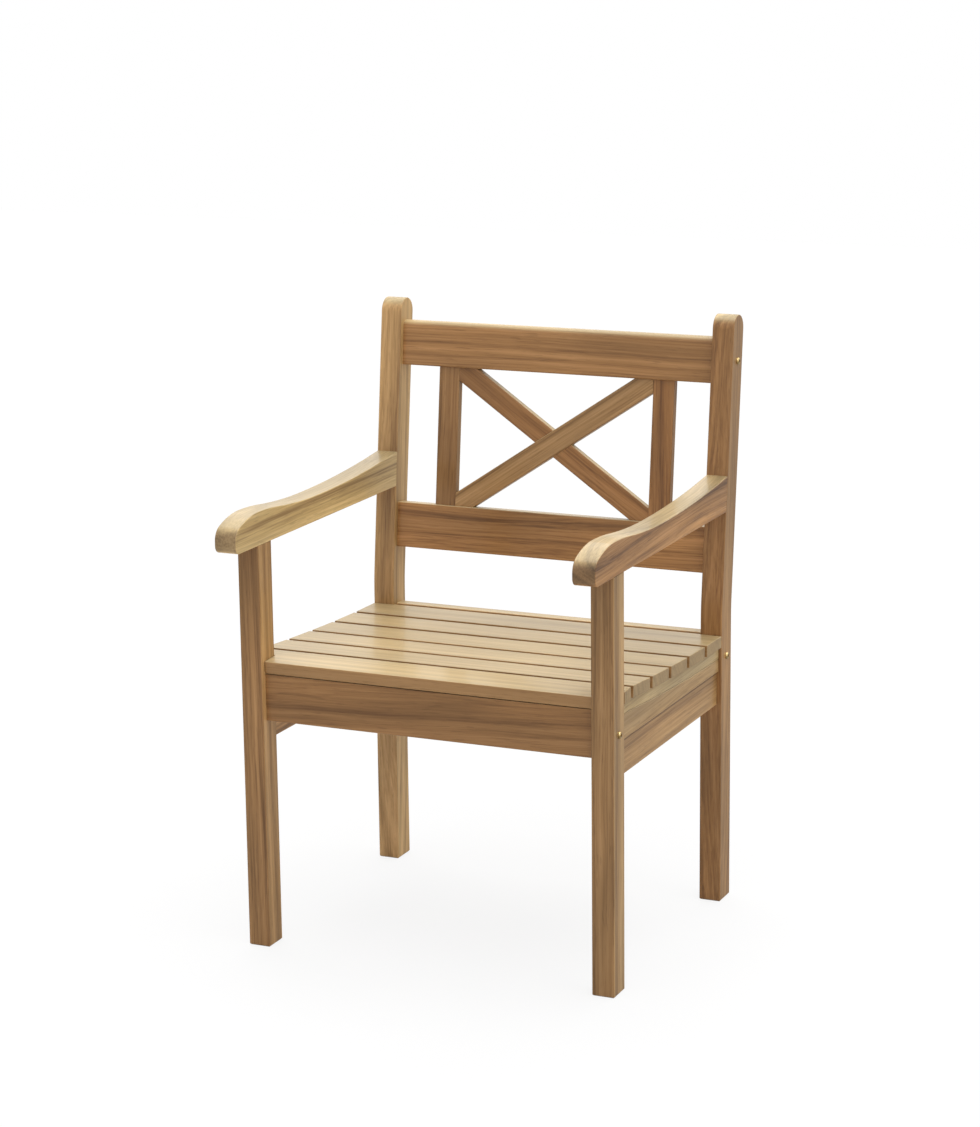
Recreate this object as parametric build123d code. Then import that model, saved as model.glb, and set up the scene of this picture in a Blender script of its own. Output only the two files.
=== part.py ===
from build123d import *
import math
import os

# A teak garden armchair with a crossed back, in millimetres. Front is -Y, right is +X and up is +Z.
# Places along the chair are counted from the front faces of the front legs. The finished pieces are moved
# together, so that the origin is on the floor under the middle of the chair.

# Legs
CHAIR_WIDTH = 581.0  # over the outer faces of the legs
LEG_WIDTH = 34.0  # side to side, all four legs and both arms
FRONT_LEG_DEPTH = 39.5
REAR_LEG_DEPTH = 42.5
LEG_SPACING = 438.0  # from the front face of a front leg to the front face of a rear leg
BEND_HEIGHT = 458.0  # from the floor to where the rear legs start to lean
BEND_RADIUS = 300.0
BACK_LEAN = 6.3  # degrees from upright
LEG_EASE = 1.4  # radius on the long edges of legs and arms
FOOT_CHAMFER = 2.0  # round the soles of the feet

# Back, measured along the lean
LOWER_RAIL_RISE = 55.0  # from the bend to the underside of the lower back rail
LOWER_RAIL_HEIGHT = 70.5
PANEL_HEIGHT = 215.5  # clear opening between the back rails
TOP_RAIL_HEIGHT = 70.0
POST_RISE = 34.0  # how far the posts stand above the top rail
BACK_RAIL_THICKNESS = 23.0
BACK_RAIL_SETBACK = 10.0  # behind the front faces of the posts
STRIP_WIDTH = 34.0  # uprights and braces
STRIP_THICKNESS = 14.0
UPRIGHT_GAP = 62.0  # between a post and the upright next to it
BRACE_STEP = 1.0  # how far the rear brace lies behind the front one
STRIP_EASE = 1.5

# Armrests
ARM_HEIGHT = 607.5  # from the floor to the underside
ARM_NOSE_REACH = 66.0  # in front of the front legs
ARM_NOSE_FACE = 17.5  # upright part of the nose
ARM_NOSE_RADIUS = 22.0  # above it, before the flatter curve up to the crest
ARM_NOSE_EASE = 11.0  # lower corner of the nose
ARM_CREST_PLACE = 5.0  # from the front legs' front faces to the highest point of the swell
ARM_CREST_THICKNESS = 49.5
ARM_TURN_PLACE = 65.0  # where the swell turns into the dip
ARM_DIP_PLACE = 190.0
ARM_DIP_THICKNESS = 38.5
ARM_TAIL_LENGTH = 18.0  # straight last stretch in front of the post
ARM_REAR_THICKNESS = 54.0

# Seat
SEAT_HEIGHT = 420.7  # top of the seat at its lowest, at the back
SEAT_DISH = 17.3  # rise from there to the back edge of the front slat
DISH_SHAPE = 1.7  # exponent of the dish: 1 is a straight slope, 2 a parabola
FRONT_ROLL = 3.4  # how far the front edge drops below the highest line
SEAT_FRONT_SETBACK = 7.5  # front edge behind the front legs' front faces
SEAT_BACK_OVERRUN = 2.0  # back edge behind the rear legs' front faces
SLAT_COUNT = 6
FRONT_SLAT_WIDTH = 57.5
SLAT_GAP = 9.5  # between the slats, and between the last one and the rear rail
SLAT_THICKNESS = 18.0
SLAT_EASE = 1.2
NOTCH_GAP = 1.0  # between a notched slat and the leg

# Rails and bearers under the seat
SEAT_RAIL_HEIGHT = 70.0
SEAT_RAIL_THICKNESS = 20.0
FRONT_RAIL_SETBACK = 10.0  # behind the front legs' front faces
FRONT_RAIL_DROP = 1.5  # open line between the front rail and the front slat
SIDE_RAIL_HEIGHT = 52.0
SIDE_RAIL_THICKNESS = 22.0
SIDE_RAIL_INSET = 7.5  # inside the legs' outer faces
BEARER_HEIGHT = 18.0
BEARER_THICKNESS = 22.0
BEARER_INSET = 5.0  # inside the slats' ends
SUPPORT_HEIGHT = 20.0  # at the lowest point of the seat
BEARER_END_GAP = 0.5  # between the bearers and the legs
RAIL_EASE = 2.0
BEARER_EASE = 1.2  # chamfer along the joints between side rail, support and bearer

# Joints
TENON_LENGTH = 12.0
TENON_SHOULDER = 4.0
TENON_WALL = 2.5  # from the end of a side rail's tenon to the tenon that crosses it
STRIP_TENON_LENGTH = 10.0
ARM_TENON_HEIGHT = 25.0
ARM_TENON_SHOULDER = 8.0
GLUE_FIT = 0.15  # on each side of a tenon or dowel
END_ROOM = 0.5  # past the end of a tenon, dowel or screw
ARM_DOWEL_DIAMETER = 8.0
ARM_DOWEL_LENGTH = 36.0
BRACE_DOWEL_DIAMETER = 6.0
BRACE_DOWEL_LENGTH = 24.0

# Fasteners
BOLT_DIAMETER = 6.0
BOLT_HEAD_DIAMETER = 10.5
BOLT_HEAD_HEIGHT = 3.2
BOLT_HEAD_RIM = 1.0  # straight part under the dome
BOLT_REACH = 25.0  # from the leg's inner face to the middle of the barrel nut
BOLT_END = 4.0  # past the barrel nut
BOLT_FIT = 0.3
SOCKET_WIDTH = 4.0  # across the flats
SOCKET_DEPTH = 2.0
NUT_DIAMETER = 10.0
NUT_LENGTH = 14.0
NUT_FIT = 0.1
NUT_SLOT_WIDTH = 1.4
NUT_SLOT_DEPTH = 1.5
SLAT_SCREW_DIAMETER = 4.0
SLAT_SCREW_HEAD = 7.5
SLAT_SCREW_LENGTH = 25.0
SLAT_SCREW_SINK = 4.0  # head above the bearer's underside
BEARER_SCREW_DIAMETER = 5.0
BEARER_SCREW_HEAD = 9.0
BEARER_SCREW_GRIP = 22.0  # rail left between the screw's head and the support
BEARER_SCREW_BITE = 10.0  # into the bearer
SCREW_HEAD_HEIGHT = 2.5
SCREW_FIT = 0.1

# Places that follow from the sizes
half_width = CHAIR_WIDTH / 2
inner_face = half_width - LEG_WIDTH
arm_middle = half_width - LEG_WIDTH / 2
panel_low = LOWER_RAIL_RISE + LOWER_RAIL_HEIGHT
panel_high = panel_low + PANEL_HEIGHT
post_length = panel_high + TOP_RAIL_HEIGHT + POST_RISE
back_rail_middle = BACK_RAIL_SETBACK + BACK_RAIL_THICKNESS / 2
upright_outside = inner_face - UPRIGHT_GAP
upright_width = (upright_outside - STRIP_WIDTH, upright_outside)
upright_middle = sum(upright_width) / 2
seat_front = SEAT_FRONT_SETBACK
seat_back = LEG_SPACING + SEAT_BACK_OVERRUN
side_rail_top = SEAT_HEIGHT - SLAT_THICKNESS - BEARER_HEIGHT - SUPPORT_HEIGHT
side_rail_bottom = side_rail_top - SIDE_RAIL_HEIGHT
front_rail_middle = FRONT_RAIL_SETBACK + SEAT_RAIL_THICKNESS / 2
rear_rail_front = seat_back + SLAT_GAP
rear_rail_middle = rear_rail_front + SEAT_RAIL_THICKNESS / 2
bearer_outside = half_width - BEARER_INSET
bearer_middle = bearer_outside - BEARER_THICKNESS / 2
side_rail_outside = half_width - SIDE_RAIL_INSET
side_rail_middle = side_rail_outside - SIDE_RAIL_THICKNESS / 2
lean = math.radians(BACK_LEAN)

# Moves a piece of the back from its own upright frame, with the posts' front faces at y = 0 and the bend at
# z = 0, to its place on the chair.
on_back = Pos(0, LEG_SPACING, BEND_HEIGHT) * Rot(X=-BACK_LEAN)


def block(x_span, y_span, z_span):
    """A box between two values along each axis."""
    spans = (x_span, y_span, z_span)
    sizes = [high - low for low, high in spans]
    middles = [(low + high) / 2 for low, high in spans]
    return Pos(*middles) * Box(*sizes)


def bar_across(half_length, y_span, z_span, ease):
    """A bar along X with eased long edges, centred on the chair."""
    section = RectangleRounded(y_span[1] - y_span[0], z_span[1] - z_span[0], ease)
    middle = Pos((y_span[0] + y_span[1]) / 2, (z_span[0] + z_span[1]) / 2)
    return extrude(Plane.YZ * middle * section, amount=half_length, both=True)


def plate(profile, x_span):
    """A plate with that side view, a face drawn in (y, z), between two values of X."""
    return extrude(Plane.YZ.offset(x_span[0]) * profile, amount=x_span[1] - x_span[0])


def ease_below(profile, ease):
    """The side view with its lowest corners rounded."""
    return fillet(profile.vertices().group_by(Axis.Y)[0], ease)


def rod(radius, start, end):
    """A cylinder between two points."""
    axis = Vector(*end) - Vector(*start)
    return extrude(Plane(origin=start, z_dir=axis) * Circle(radius), amount=axis.length)


def shrink(span, margin):
    """A span with the margin taken off both ends."""
    return span[0] + margin, span[1] - margin


def grow(span, margin):
    """A span with the margin added at both ends."""
    return shrink(span, -margin)


def long_edges(piece, end_edges):
    """The edges round both side faces of a plate, but for those at an end."""
    edges = [edge for side in piece.faces().filter_by(Axis.X) for edge in side.edges()]
    return [edge for edge in edges if edge not in end_edges]


def side_edges(piece, upward):
    """The edges between the side faces of a plate and its faces that look up, or down."""
    sides = [edge for side in piece.faces().filter_by(Axis.X) for edge in side.edges()]
    level = [face for face in piece.faces() if (face.normal_at().Z > 0.5 if upward else face.normal_at().Z < -0.5)]
    return [edge for edge in sides if any(edge in face.edges() for face in level)]


def both_sides(piece):
    """The piece built on the right, and its mirror image, as (side, piece)."""
    return [("right", piece), ("left", mirror(piece, about=Plane.YZ))]


def post_front(height):
    """Where the front face of a post is at a height above the bend."""
    return LEG_SPACING + (height - BEND_HEIGHT) * math.tan(lean)


# Seat line


def seat_top(place):
    """Height of the seat's top at a place behind the front legs' front faces."""
    front_slat_back = seat_front + FRONT_SLAT_WIDTH
    if place <= front_slat_back:
        share = (front_slat_back - place) / FRONT_SLAT_WIDTH
        return SEAT_HEIGHT + SEAT_DISH - FRONT_ROLL * share
    share = abs(seat_back - place) / (seat_back - front_slat_back)
    return SEAT_HEIGHT + SEAT_DISH * share**DISH_SHAPE


def slat_spans():
    """Front and back edge of each slat, the front slat first."""
    room = seat_back - seat_front - FRONT_SLAT_WIDTH - (SLAT_COUNT - 1) * SLAT_GAP
    width = room / (SLAT_COUNT - 1)
    spans = [(seat_front, seat_front + FRONT_SLAT_WIDTH)]
    for _ in range(SLAT_COUNT - 1):
        front = spans[-1][1] + SLAT_GAP
        spans.append((front, front + width))
    return spans


def slat_tilt(span):
    """Angle of a slat in radians, positive where its back edge is the higher one."""
    return math.atan2(seat_top(span[1]) - seat_top(span[0]), span[1] - span[0])


def slat_underside(span, place):
    """Height of a slat's underside at a place."""
    tilt = slat_tilt(span)
    return seat_top(span[0]) + (place - span[0]) * math.tan(tilt) - SLAT_THICKNESS / math.cos(tilt)


def seat_line(drop):
    """The slats' undersides as one line of (y, z) points, lowered by the drop."""
    return [(place, slat_underside(span, place) - drop) for span in slat_spans() for place in span]


# Spans shared by a tenon and its mortise
front_rail_span = (FRONT_RAIL_SETBACK, FRONT_RAIL_SETBACK + SEAT_RAIL_THICKNESS)
front_rail_top = slat_underside(slat_spans()[0], front_rail_span[0]) - FRONT_RAIL_DROP
front_rail_height = (front_rail_top - SEAT_RAIL_HEIGHT, front_rail_top)
rear_rail_span = (rear_rail_front, rear_rail_front + SEAT_RAIL_THICKNESS)
rear_rail_height = (SEAT_HEIGHT - SEAT_RAIL_HEIGHT, SEAT_HEIGHT)
side_rail_width = (side_rail_outside - SIDE_RAIL_THICKNESS, side_rail_outside)
side_rail_height = (side_rail_bottom, side_rail_top)
back_rail_span = (BACK_RAIL_SETBACK, BACK_RAIL_SETBACK + BACK_RAIL_THICKNESS)
lower_rail_height = (LOWER_RAIL_RISE, panel_low)
top_rail_height = (panel_high, panel_high + TOP_RAIL_HEIGHT)
strip_span = (back_rail_middle - STRIP_THICKNESS / 2, back_rail_middle + STRIP_THICKNESS / 2)
bolt_heights = {
    "front": sum(front_rail_height) / 2,
    "rear": sum(rear_rail_height) / 2,
    "top": sum(top_rail_height) / 2,
}


def rail_tenon(y_span, z_span, room=0.0):
    """The stub tenons at both ends of a rail along X; with room, the cut that makes their mortises."""
    reach = inner_face + TENON_LENGTH + (END_ROOM if room else 0.0)
    margin = TENON_SHOULDER - room
    return block((-reach, reach), shrink(y_span, margin), shrink(z_span, margin))


def side_tenon(room=0.0):
    """The stub tenons at both ends of the right side rail; with room, the cut for their mortises."""
    between_tenons = grow((front_rail_span[1], rear_rail_front), TENON_SHOULDER)
    y_span = shrink(between_tenons, TENON_WALL - (END_ROOM if room else 0.0))
    margin = TENON_SHOULDER - room
    return block(shrink(side_rail_width, margin), y_span, shrink(side_rail_height, margin))


def arm_tenon(room=0.0):
    """The tenon on top of the right front leg; with room, the cut for its mortise."""
    margin = ARM_TENON_SHOULDER - room
    x_span = shrink((inner_face, half_width), margin)
    top = ARM_HEIGHT + ARM_TENON_HEIGHT + (END_ROOM if room else 0.0)
    return block(x_span, shrink((0, FRONT_LEG_DEPTH), margin), (ARM_HEIGHT, top))


def bolt_hole(y, z):
    """The clearance hole for a frame bolt on the right, from the leg's outer face to past the bolt's end."""
    end = inner_face - BOLT_REACH - NUT_DIAMETER / 2 - BOLT_END - END_ROOM
    return rod(BOLT_DIAMETER / 2 + BOLT_FIT, (end, y, z), (half_width, y, z))


def nut_hole(y, z, mouth):
    """The blind hole for a barrel nut on the right, open at the rail face at y = mouth."""
    inward = math.copysign(1.0, mouth - y)
    bottom = y - inward * (NUT_LENGTH / 2 + NUT_FIT)
    x = inner_face - BOLT_REACH
    return rod(NUT_DIAMETER / 2 + NUT_FIT, (x, bottom, z), (x, mouth, z))


def bolted_rail(rail, y, z, mouth):
    """The rail with the holes for its two bolts and barrel nuts."""
    for _, cut in both_sides(bolt_hole(y, z) + nut_hole(y, z, mouth)):
        rail -= cut
    return rail


def arm_dowel_places():
    """Places along the post, in the back's own frame, of the two dowels behind an armrest."""
    low = (ARM_HEIGHT - BEND_HEIGHT) / math.cos(lean)
    length = ARM_REAR_THICKNESS / math.cos(lean)
    return [low + length / 3, low + length * 2 / 3]


def arm_dowels(room=0.0):
    """The dowels of the right armrest, on the chair; with room, the cut for their holes."""
    reach = ARM_DOWEL_LENGTH / 2 + (END_ROOM if room else 0.0)
    radius = ARM_DOWEL_DIAMETER / 2 + room
    x = arm_middle
    return [on_back * rod(radius, (x, -reach, place), (x, reach, place)) for place in arm_dowel_places()]


# Legs and arms


def chamfer_foot(leg, y_span):
    """The right leg between those values of Y with the edges of its sole cut off at 45 degrees."""
    side = FOOT_CHAMFER * math.sqrt(2)
    middle = sum(y_span) / 2
    length = 2 * max(LEG_WIDTH, y_span[1] - y_span[0])
    for x in (inner_face, half_width):
        leg -= Pos(x, middle, 0) * Rot(Y=45) * Box(side, length, side)
    for y in y_span:
        leg -= Pos(arm_middle, y, 0) * Rot(X=45) * Box(length, side, side)
    return leg


def make_front_leg():
    """The right front leg, with a tenon on top for the arm and mortises for the two rails."""
    middle = Pos(arm_middle, FRONT_LEG_DEPTH / 2)
    leg = extrude(middle * RectangleRounded(LEG_WIDTH, FRONT_LEG_DEPTH, LEG_EASE), amount=ARM_HEIGHT)
    leg = chamfer_foot(leg, (0, FRONT_LEG_DEPTH))
    leg += arm_tenon()
    leg -= rail_tenon(front_rail_span, front_rail_height, GLUE_FIT)
    leg -= side_tenon(GLUE_FIT)
    leg -= bolt_hole(front_rail_middle, bolt_heights["front"])
    return leg


def make_rear_leg():
    """The right rear leg: upright to the bend, then leaning back to a rounded top."""
    radius = REAR_LEG_DEPTH / 2
    slope = Vector(math.sin(lean), math.cos(lean))
    across = Vector(math.cos(lean), -math.sin(lean))
    foot = Vector(LEG_SPACING, 0)
    bend = Vector(LEG_SPACING, BEND_HEIGHT)
    shoulder = bend + slope * (post_length - radius)
    crown = shoulder + across * radius + slope * radius
    back_shoulder = shoulder + across * REAR_LEG_DEPTH
    back_foot = Vector(LEG_SPACING + REAR_LEG_DEPTH, 0)
    back_bend = Vector(back_foot.X, BEND_HEIGHT - REAR_LEG_DEPTH * math.tan(lean / 2))
    outline = Curve() + [
        Polyline(foot, bend, shoulder),
        ThreePointArc(shoulder, crown, back_shoulder),
        Polyline(back_shoulder, back_bend, back_foot, foot),
    ]
    profile = make_face(outline)
    bends = [profile.vertices().sort_by_distance(corner)[0] for corner in (bend, back_bend)]
    profile = fillet(bends, BEND_RADIUS)
    leg = plate(profile, (inner_face, half_width))
    foot_edges = leg.faces().sort_by(Axis.Z)[0].edges()
    leg = fillet(long_edges(leg, foot_edges), LEG_EASE)
    leg = chamfer_foot(leg, (LEG_SPACING, LEG_SPACING + REAR_LEG_DEPTH))
    leg -= rail_tenon(rear_rail_span, rear_rail_height, GLUE_FIT)
    leg -= side_tenon(GLUE_FIT)
    leg -= bolt_hole(rear_rail_middle, bolt_heights["rear"])
    for height in (lower_rail_height, top_rail_height):
        leg -= on_back * rail_tenon(back_rail_span, height, GLUE_FIT)
    leg -= on_back * bolt_hole(back_rail_middle, bolt_heights["top"])
    for hole in arm_dowels(GLUE_FIT):
        leg -= hole
    return leg


def make_armrest():
    """The right armrest: a swelling nose, a shallow dip and a rise to the post."""
    under = ARM_HEIGHT
    rear_top = under + ARM_REAR_THICKNESS
    nose_place = -ARM_NOSE_REACH
    nose_corner = Vector(nose_place, under)
    nose_top = Vector(nose_place, under + ARM_NOSE_FACE)
    crest = Vector(ARM_CREST_PLACE, under + ARM_CREST_THICKNESS)
    dip = Vector(ARM_DIP_PLACE, under + ARM_DIP_THICKNESS)
    turn = crest + (dip - crest) * ((ARM_TURN_PLACE - crest.X) / (dip.X - crest.X))
    rear_low = Vector(post_front(under), under)
    rear_high = Vector(post_front(rear_top), rear_top)
    rise_corner = Vector((dip.X + rear_high.X - ARM_TAIL_LENGTH) / 2, dip.Y)
    rise_end = rise_corner + (rear_high - rise_corner).normalized() * (rise_corner - dip).length
    run = crest.X - nose_top.X
    rise = crest.Y - nose_top.Y
    nose = ARM_NOSE_RADIUS
    swell = ((run - nose) ** 2 + rise**2 - nose**2) / (2 * (rise - nose))
    swell_centre = crest - Vector(0, swell)
    nose_centre = nose_top + Vector(nose, 0)
    nose_end = swell_centre + (nose_centre - swell_centre).normalized() * swell
    outline = Curve() + [
        Polyline(rise_end, rear_high, rear_low, nose_corner, nose_top),
        TangentArc(nose_top, nose_end, tangent=(0, 1)),
        TangentArc(crest, nose_end, tangent=(-1, 0)),
        TangentArc(crest, turn, tangent=(1, 0)),
        TangentArc(dip, turn, tangent=(-1, 0)),
        TangentArc(dip, rise_end, tangent=(1, 0)),
    ]
    profile = make_face(outline)
    profile = fillet(profile.vertices().sort_by_distance(nose_corner)[0], ARM_NOSE_EASE)
    arm = plate(profile, (inner_face, half_width))
    rear_edges = arm.faces().sort_by(Axis.Y)[-1].edges()
    arm = fillet(long_edges(arm, rear_edges), LEG_EASE)
    arm -= arm_tenon(GLUE_FIT)
    for hole in arm_dowels(GLUE_FIT):
        arm -= hole
    return arm


# Rails of the seat frame


def make_front_rail():
    """The front rail, its top planed to the front slat's tilt."""
    front, back = front_rail_span
    bottom = front_rail_height[0]
    back_top = slat_underside(slat_spans()[0], back) - FRONT_RAIL_DROP
    corners = [(front, bottom), (back, bottom), (back, back_top), (front, front_rail_top)]
    profile = ease_below(make_face(Polyline(*corners, close=True)), RAIL_EASE)
    rail = plate(profile, (-inner_face, inner_face)) + rail_tenon(front_rail_span, front_rail_height)
    return bolted_rail(rail, front_rail_middle, bolt_heights["front"], back)


def make_rear_rail():
    """The rear rail, between the rear legs."""
    rail = bar_across(inner_face, rear_rail_span, rear_rail_height, RAIL_EASE)
    rail += rail_tenon(rear_rail_span, rear_rail_height)
    return bolted_rail(rail, rear_rail_middle, bolt_heights["rear"], rear_rail_front)


def bearer_screw_places():
    """Places along the side of the screws that hold a bearer down, under the middle of every second slat."""
    return [sum(span) / 2 for span in slat_spans()[1::2]]


def bearer_bottom(place):
    """Height of a bearer's underside at a place."""
    line = seat_line(BEARER_HEIGHT)
    for (front, front_height), (back, back_height) in zip(line, line[1:]):
        if place <= back:
            return front_height + (back_height - front_height) * (place - front) / (back - front)
    return line[-1][1]


def screw(diameter, head_diameter, bottom, top, x, y):
    """An upright wood screw, its head at the bottom."""
    head = Pos(x, y, bottom + SCREW_HEAD_HEIGHT / 2)
    head *= Cone(head_diameter / 2, diameter / 2, SCREW_HEAD_HEIGHT)
    return head + rod(diameter / 2, (x, y, bottom + SCREW_HEAD_HEIGHT), (x, y, top))


def screw_hole(diameter, head_diameter, mouth, bottom, top, x, y):
    """The hole for such a screw, entered from below at the height of the mouth."""
    seat = bottom + SCREW_HEAD_HEIGHT
    sink = rod(head_diameter / 2 + SCREW_FIT, (x, y, mouth), (x, y, bottom))
    cone = Pos(x, y, bottom + SCREW_HEAD_HEIGHT / 2)
    cone *= Cone(head_diameter / 2 + SCREW_FIT, diameter / 2 + SCREW_FIT, SCREW_HEAD_HEIGHT)
    return sink + cone + rod(diameter / 2 + SCREW_FIT, (x, y, seat), (x, y, top + END_ROOM))


def bearer_screws(x, cutting=False):
    """The screws up through one side rail; when cutting, their holes."""
    bottom = side_rail_top - BEARER_SCREW_GRIP - SCREW_HEAD_HEIGHT
    sizes = (BEARER_SCREW_DIAMETER, BEARER_SCREW_HEAD)
    pieces = []
    for place in bearer_screw_places():
        top = bearer_bottom(place) + BEARER_SCREW_BITE
        if cutting:
            pieces.append(screw_hole(*sizes, side_rail_bottom, bottom, top, x, place))
        else:
            pieces.append(screw(*sizes, bottom, top, x, place))
    return pieces


def make_side_rail():
    """The right side rail, drilled from below for the bearer's screws."""
    section = Pos(side_rail_middle, sum(side_rail_height) / 2)
    section *= RectangleRounded(SIDE_RAIL_THICKNESS, SIDE_RAIL_HEIGHT, RAIL_EASE)
    length = LEG_SPACING - FRONT_LEG_DEPTH
    rail = extrude(Plane.XZ.offset(-FRONT_LEG_DEPTH) * section, amount=-length) + side_tenon()
    for hole in bearer_screws(side_rail_middle, cutting=True):
        rail -= hole
    return rail


# Bearers and slats

bearer_width = (bearer_outside - BEARER_THICKNESS, bearer_outside)
bearer_length = shrink((FRONT_LEG_DEPTH, LEG_SPACING), BEARER_END_GAP)


def under_seat(top_line, bottom_line):
    """The part between two lines of (y, z) points that lies between the legs on the right."""
    profile = make_face(Polyline(*top_line, *reversed(bottom_line), close=True))
    room = block(bearer_width, bearer_length, (0, SEAT_HEIGHT + SEAT_DISH))
    return plate(profile, bearer_width) & room


def make_bearer_support():
    """The wedge between the right side rail and the curved bearer."""
    floor_line = [(seat_front, side_rail_top), (seat_back, side_rail_top)]
    support = under_seat(seat_line(BEARER_HEIGHT), floor_line)
    support = chamfer(side_edges(support, upward=True) + side_edges(support, upward=False), BEARER_EASE)
    for hole in bearer_screws(side_rail_middle, cutting=True):
        support -= hole
    return support


def slat_screw_places(span):
    """Places of the screws under one slat, on the stretch that the bearer carries."""
    front = max(span[0], bearer_length[0])
    back = min(span[1], bearer_length[1])
    return [front + (back - front) / 4, back - (back - front) / 4]


def slat_screws(x, cutting=False):
    """The screws up through one bearer into the slats; when cutting, their holes."""
    sizes = (SLAT_SCREW_DIAMETER, SLAT_SCREW_HEAD)
    pieces = []
    for span in slat_spans():
        for place in slat_screw_places(span):
            under = slat_underside(span, place) - BEARER_HEIGHT
            bottom = under + SLAT_SCREW_SINK
            top = bottom + SLAT_SCREW_LENGTH
            if cutting:
                pieces.append(screw_hole(*sizes, under - END_ROOM, bottom, top, x, place))
            else:
                pieces.append(screw(*sizes, bottom, top, x, place))
    return pieces


def make_seat_bearer():
    """The right seat bearer, with a flat seat for each slat."""
    bearer = under_seat(seat_line(0), seat_line(BEARER_HEIGHT))
    bearer = chamfer(side_edges(bearer, upward=False), BEARER_EASE)
    for hole in slat_screws(bearer_middle, cutting=True) + bearer_screws(side_rail_middle, cutting=True):
        bearer -= hole
    return bearer


def make_slats():
    """All seat slats, the front one first, each flat and tilted to the seat line."""
    notch_width = (inner_face - NOTCH_GAP, half_width + NOTCH_GAP)
    notch_height = (0, SEAT_HEIGHT + SEAT_DISH + SLAT_THICKNESS)
    front_notch = block(notch_width, (-NOTCH_GAP, FRONT_LEG_DEPTH + NOTCH_GAP), notch_height)
    rear_notch = block(notch_width, (LEG_SPACING - NOTCH_GAP, seat_back + NOTCH_GAP), notch_height)
    slats = []
    for span in slat_spans():
        tilt = slat_tilt(span)
        width = (span[1] - span[0]) / math.cos(tilt)
        middle = sum(span) / 2
        height = (seat_top(span[0]) + seat_top(span[1])) / 2
        along = (0, math.cos(tilt), math.sin(tilt))
        section_plane = Plane(origin=(0, middle, height), x_dir=along, z_dir=(1, 0, 0))
        section = Pos(0, -SLAT_THICKNESS / 2) * Rectangle(width, SLAT_THICKNESS)
        slat = extrude(section_plane * section, amount=half_width, both=True)
        slat = fillet(slat.edges(), SLAT_EASE)
        for _, notch in both_sides(front_notch) + both_sides(rear_notch):
            slat -= notch
        for _, holes in both_sides(Compound(slat_screws(bearer_middle, cutting=True))):
            slat -= holes
        slats.append(slat)
    return slats


# Back


def make_top_rail():
    """The top rail, with a fully rounded top edge."""
    radius = BACK_RAIL_THICKNESS / 2
    front, back = back_rail_span
    low, high = top_rail_height
    outline = Curve() + [
        Polyline((front, high - radius), (front, low), (back, low), (back, high - radius)),
        ThreePointArc((front, high - radius), (back_rail_middle, high), (back, high - radius)),
    ]
    profile = ease_below(make_face(outline), RAIL_EASE)
    rail = plate(profile, (-inner_face, inner_face)) + rail_tenon(back_rail_span, top_rail_height)
    rail -= upright_tenons(GLUE_FIT)
    for hole in brace_dowels(GLUE_FIT):
        rail -= hole
    return on_back * bolted_rail(rail, back_rail_middle, bolt_heights["top"], back)


def make_lower_back_rail():
    """The lower back rail."""
    rail = bar_across(inner_face, back_rail_span, lower_rail_height, RAIL_EASE)
    rail += rail_tenon(back_rail_span, lower_rail_height)
    rail -= upright_tenons(GLUE_FIT)
    for hole in brace_dowels(GLUE_FIT):
        rail -= hole
    return on_back * rail


def upright_tenon(room=0.0):
    """The tenons at both ends of the right upright, in the back's frame; with room, their mortises."""
    margin = TENON_SHOULDER - room
    reach = STRIP_TENON_LENGTH + (END_ROOM if room else 0.0)
    return block(shrink(upright_width, margin), shrink(strip_span, margin), grow((panel_low, panel_high), reach))


def upright_tenons(room):
    """The mortises of both uprights in the back rails."""
    return Compound([tenon for _, tenon in both_sides(upright_tenon(room))])


def make_upright():
    """The right upright, between the back rails."""
    section = Pos(upright_middle, back_rail_middle)
    section *= RectangleRounded(STRIP_WIDTH, STRIP_THICKNESS, STRIP_EASE)
    return extrude(Plane.XY.offset(panel_low) * section, amount=PANEL_HEIGHT) + upright_tenon()


opening_half = upright_width[0]
panel_middle = (panel_low + panel_high) / 2
brace_angle = math.atan2(PANEL_HEIGHT, 2 * opening_half)


def along_diagonal(section, angle, depth):
    """A strip of that section through the middle of the opening, at an angle to the rails in the front view."""
    direction = (math.cos(angle), 0, math.sin(angle))
    across = (-math.sin(angle), 0, math.cos(angle))
    middle = Plane(origin=(0, depth, panel_middle), x_dir=across, z_dir=direction)
    return extrude(middle * section, amount=opening_half + PANEL_HEIGHT, both=True)


def make_brace(angle, depths, lap):
    """A brace cut to the corners of the opening, with the other brace's half of the lap taken out."""
    front, back = depths
    lap_front, lap_back = lap
    strip = RectangleRounded(STRIP_WIDTH, back - front, STRIP_EASE)
    brace = along_diagonal(strip, angle, (front + back) / 2)
    brace &= block((-opening_half, opening_half), depths, (panel_low, panel_high))
    notch = Rectangle(STRIP_WIDTH + 2 * GLUE_FIT, lap_back - lap_front)
    brace -= along_diagonal(notch, -angle, (lap_front + lap_back) / 2)
    for hole in brace_dowels(GLUE_FIT):
        brace -= hole
    return on_back * brace


def brace_dowel_centres():
    """Middle points, in the back's frame, of the dowels between the brace ends and the rails."""
    along_rail = STRIP_WIDTH / 2 / math.sin(brace_angle)
    x = opening_half - along_rail / 2
    return [(side * x, height) for side in (-1, 1) for height in (panel_low, panel_high)]


def brace_dowels(room=0.0):
    """The dowels at the brace ends, in the back's frame; with room, the cuts for their holes."""
    reach = BRACE_DOWEL_LENGTH / 2 + (END_ROOM if room else 0.0)
    y = back_rail_middle
    radius = BRACE_DOWEL_DIAMETER / 2 + room
    return [rod(radius, (x, y, z - reach), (x, y, z + reach)) for x, z in brace_dowel_centres()]


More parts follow.
